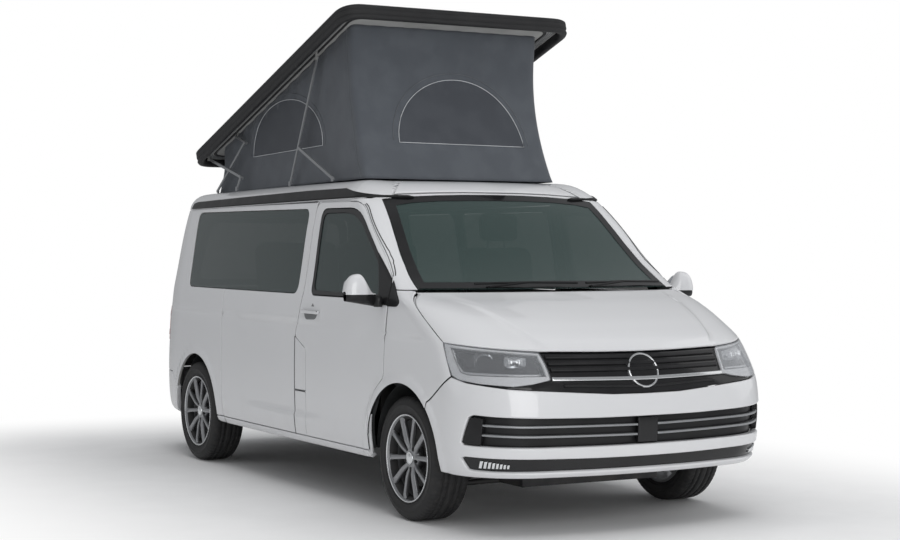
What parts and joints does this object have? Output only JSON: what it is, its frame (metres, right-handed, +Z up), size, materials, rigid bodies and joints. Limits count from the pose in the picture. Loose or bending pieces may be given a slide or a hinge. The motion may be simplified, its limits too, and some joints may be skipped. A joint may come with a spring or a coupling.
{
  "type": "camper van with a raised pop-up roof",
  "caption": "Full-size camper van on road wheels with opening doors, tailgate, bonnet and steering, and a rear-hinged pop-up roof over a fabric tent.",
  "frame": {"origin": "on the ground under the middle of the van's box", "axes": "+Z up, the nose towards -Y, the van's left side towards +X"},
  "size_m": [2.296, 4.8999, 2.8562],
  "materials": {
    "paint": "gloss",
    "black_trim": "satin",
    "clear_lamp": "clear",
    "red_lamp": "gloss",
    "screen_glass": "clear",
    "dark_glass": "tinted",
    "cabin_plastic": "matt",
    "seat_fabric": "woven",
    "tent_fabric": "woven",
    "rubber": "matt",
    "tyre": "matt",
    "alloy": "painted silver",
    "steel": "dull",
    "link_metal": "satin",
    "cabinet": "satin"
  },
  "bodies": {
    "van": {"floor_pan": "steel", "side_wall_right": "paint", "side_wall_left": "paint", "sliding_door": "paint", "front_wings": "paint", "screen_frame": "paint", "roof_panel": "paint", "front_bumper": "paint", "bumper_grille": "black_trim", "front_grille": "black_trim", "headlamps": "clear_lamp", "tail_lamps": "red_lamp", "windscreen": "screen_glass", "side_glass": "dark_glass", "dashboard": "cabin_plastic", "steering_wheel": "cabin_plastic", "front_seats": "seat_fabric", "seat_bases": "cabin_plastic", "rear_bench": "seat_fabric", "kitchen_unit": "cabinet", "awning_rails": "black_trim", "engine_block": "steel", "fuel_tank": "cabin_plastic", "exhaust": "steel", "front_subframe": "steel", "rear_arms": "steel", "rear_bumper": "paint", "wheel_arches": "cabin_plastic", "wipers": "black_trim", "deck_brackets": "link_metal", "tent": "tent_fabric"},
    "door_right_body": {"door_right": "paint", "door_glass_right": "dark_glass", "mirror_right": "paint"},
    "door_left_body": {"door_left": "paint", "door_glass_left": "dark_glass", "mirror_left": "paint"},
    "tailgate_body": {"tailgate": "paint", "tailgate_glass": "dark_glass"},
    "bonnet_body": {"bonnet": "paint"},
    "pop_roof_body": {"pop_roof": "paint", "pop_roof_rim": "rubber"},
    "strut_body": {"roof_strut": "link_metal"},
    "brace_body": {"roof_brace": "link_metal"},
    "lower_link_body": {"lower_link": "link_metal"},
    "upper_link_body": {"upper_link": "link_metal"},
    "upper_short_body": {"upper_short_link": "link_metal"},
    "lower_short_body": {"lower_short_link": "link_metal"},
    "knuckle_right_body": {"knuckle_right": "steel"},
    "knuckle_left_body": {"knuckle_left": "steel"},
    "wheel_front_right": {"tyre_front_right": "tyre", "rim_front_right": "alloy"},
    "wheel_front_left": {"tyre_front_left": "tyre", "rim_front_left": "alloy"},
    "wheel_rear_right": {"tyre_rear_right": "tyre", "rim_rear_right": "alloy"},
    "wheel_rear_left": {"tyre_rear_left": "tyre", "rim_rear_left": "alloy"}
  },
  "joints": [
    {"name": "door_right_hinge", "type": "hinge", "parent": "van", "child": "door_right_body", "pos_m": [-0.951, -1.34, 1], "axis": [0, 0, 1], "range_deg": [0, 66]},
    {"name": "door_left_hinge", "type": "hinge", "parent": "van", "child": "door_left_body", "pos_m": [0.951, -1.34, 1], "axis": [0, 0, -1], "range_deg": [0, 66]},
    {"name": "tailgate_hinge", "type": "hinge", "parent": "van", "child": "tailgate_body", "pos_m": [0, 2.136, 1.771], "axis": [1, 0, 0], "range_deg": [0, 84]},
    {"name": "bonnet_hinge", "type": "hinge", "parent": "van", "child": "bonnet_body", "pos_m": [0, -1.462, 1.217], "axis": [-1, 0, 0], "range_deg": [0, 50]},
    {"name": "roof_tilt", "type": "hinge", "parent": "van", "child": "pop_roof_body", "pos_m": [0, 2.463, 1.84], "axis": [1, 0, 0], "range_deg": [0, 17.2], "deforming": ["tent"]},
    {"name": "strut_fold", "type": "hinge", "parent": "van", "child": "strut_body", "pos_m": [0, 0.454, 1.835], "axis": [1, 0, 0], "range_deg": [0, 60.84]},
    {"name": "brace_fold", "type": "hinge", "parent": "van", "child": "brace_body", "pos_m": [0, -0.194, 1.84609], "axis": [1, 0, 0], "range_deg": [-22.09, 0]},
    {"name": "lower_link_fold", "type": "hinge", "parent": "van", "child": "lower_link_body", "pos_m": [0, 1.669, 1.8142], "axis": [1, 0, 0], "range_deg": [0, 31.62]},
    {"name": "lower_short_fold", "type": "hinge", "parent": "van", "child": "lower_short_body", "pos_m": [0, 1.252, 1.82134], "axis": [1, 0, 0], "range_deg": [0, 50]},
    {"name": "upper_link_fold", "type": "hinge", "parent": "pop_roof_body", "child": "upper_link_body", "pos_m": [0, 1.786, 2.03838], "axis": [1, 0, 0], "range_deg": [-31.13, 0]},
    {"name": "upper_short_fold", "type": "hinge", "parent": "pop_roof_body", "child": "upper_short_body", "pos_m": [0, 1.372, 2.17449], "axis": [1, 0, 0], "range_deg": [-33.21, 0]},
    {"name": "steer_right", "type": "hinge", "parent": "van", "child": "knuckle_right_body", "pos_m": [-0.742, -1.544, 0.33], "axis": [0, 0, 1], "range_deg": [-34, 34]},
    {"name": "steer_left", "type": "hinge", "parent": "van", "child": "knuckle_left_body", "pos_m": [0.742, -1.544, 0.33], "axis": [0, 0, 1], "range_deg": [-34, 34]},
    {"name": "spin_front_right", "type": "hinge", "parent": "knuckle_right_body", "child": "wheel_front_right", "pos_m": [-0.812, -1.544, 0.33], "axis": [1, 0, 0], "continuous": true},
    {"name": "spin_front_left", "type": "hinge", "parent": "knuckle_left_body", "child": "wheel_front_left", "pos_m": [0.812, -1.544, 0.33], "axis": [1, 0, 0], "continuous": true},
    {"name": "spin_rear_right", "type": "hinge", "parent": "van", "child": "wheel_rear_right", "pos_m": [-0.812, 1.456, 0.33], "axis": [1, 0, 0], "continuous": true},
    {"name": "spin_rear_left", "type": "hinge", "parent": "van", "child": "wheel_rear_left", "pos_m": [0.812, 1.456, 0.33], "axis": [1, 0, 0], "continuous": true}
  ],
  "couplings": [
    {"joint": "strut_fold", "follows": "roof_tilt", "ratio": 3.5372},
    {"joint": "brace_fold", "follows": "roof_tilt", "ratio": -1.2843},
    {"joint": "lower_link_fold", "follows": "roof_tilt", "ratio": 1.8383},
    {"joint": "lower_short_fold", "follows": "roof_tilt", "ratio": 2.9069},
    {"joint": "upper_link_fold", "follows": "roof_tilt", "ratio": -1.8098},
    {"joint": "upper_short_fold", "follows": "roof_tilt", "ratio": -1.9308},
    {"joint": "steer_left", "follows": "steer_right", "ratio": 1}
  ]
}
